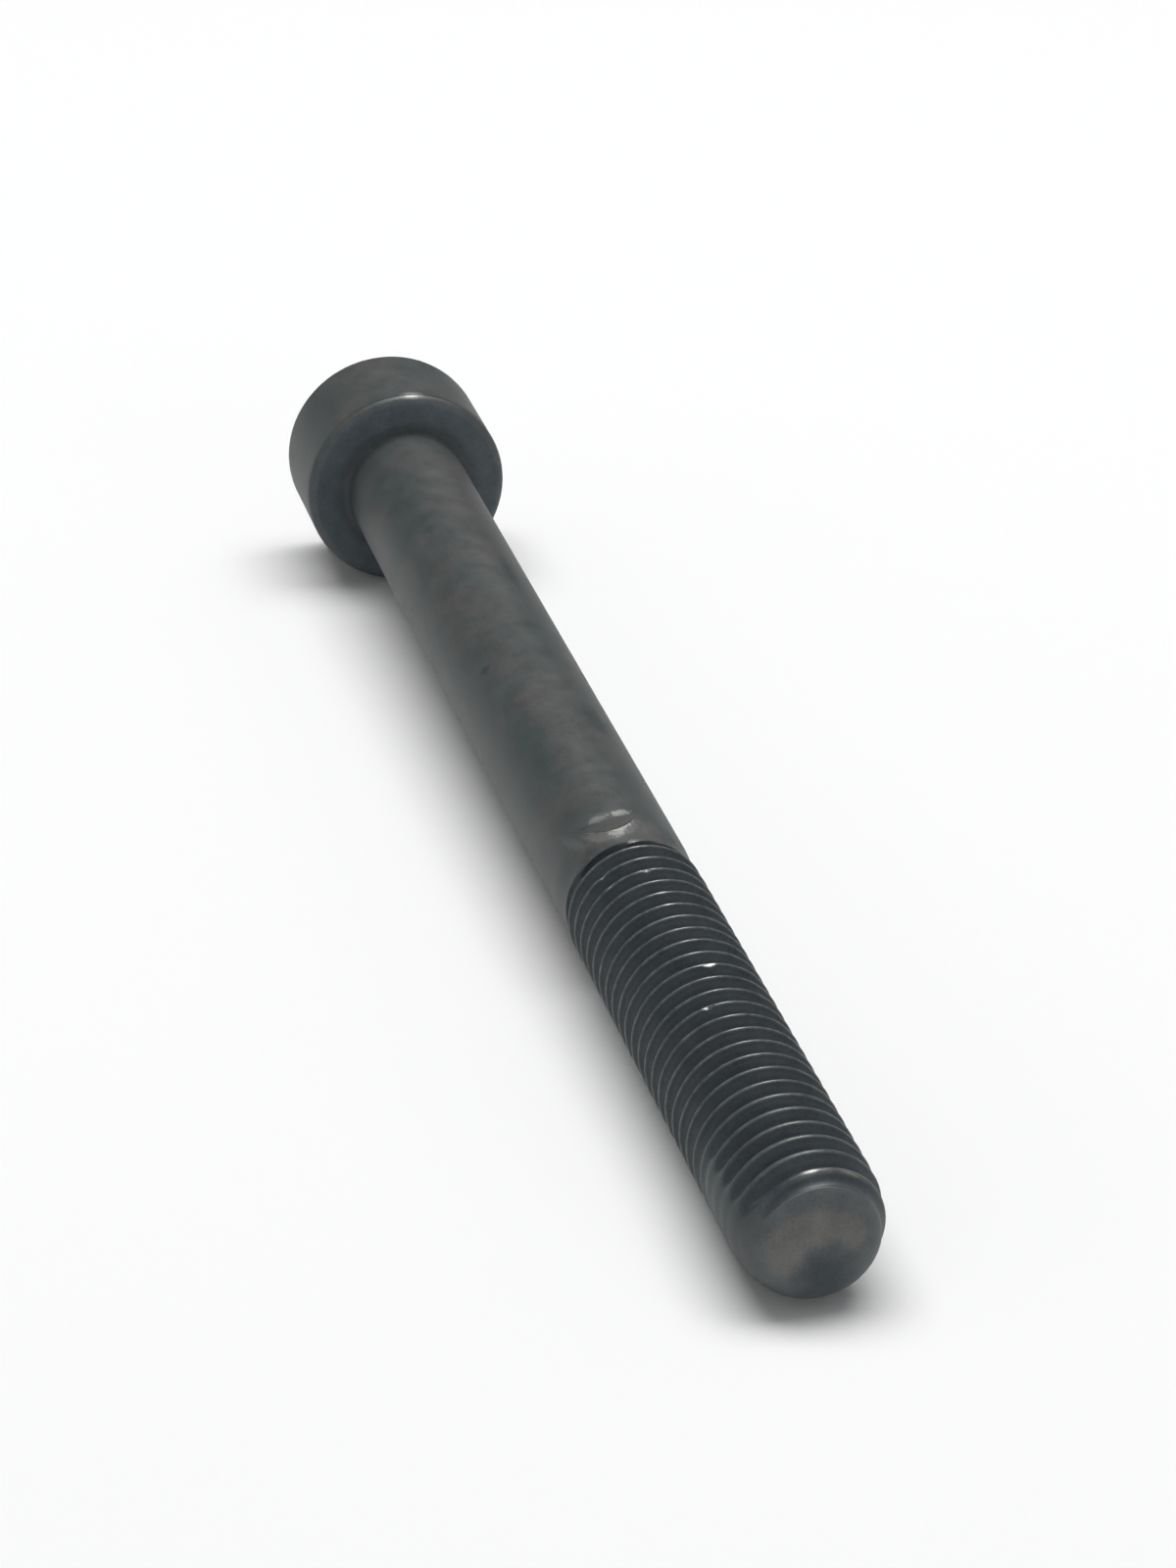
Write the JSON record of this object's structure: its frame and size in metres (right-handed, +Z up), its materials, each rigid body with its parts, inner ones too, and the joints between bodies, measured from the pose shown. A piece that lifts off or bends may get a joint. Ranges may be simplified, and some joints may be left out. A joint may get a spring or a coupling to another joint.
{
  "type": "socket head cap screw",
  "caption": "Dark steel cap screw with a smooth round head, a hexagon socket, a long plain shank, a part thread and a rounded point; it clamps parts through a clearance hole.",
  "frame": {"origin": "on the surface that the screw lies on, under the middle of its bounding box", "axes": "+Z is up and +X is the way the point looks; the screw lies on the rim of its head and on its last crests, so its own axis runs from the head to the point, 1.64 degrees below +X"},
  "size_m": [0.0762, 0.0098, 0.01],
  "materials": {
    "black_steel": "matt black oxide, slightly worn, a little brighter on the thread crests"
  },
  "bodies": {
    "root": {"screw": "black_steel"}
  },
  "joints": []
}
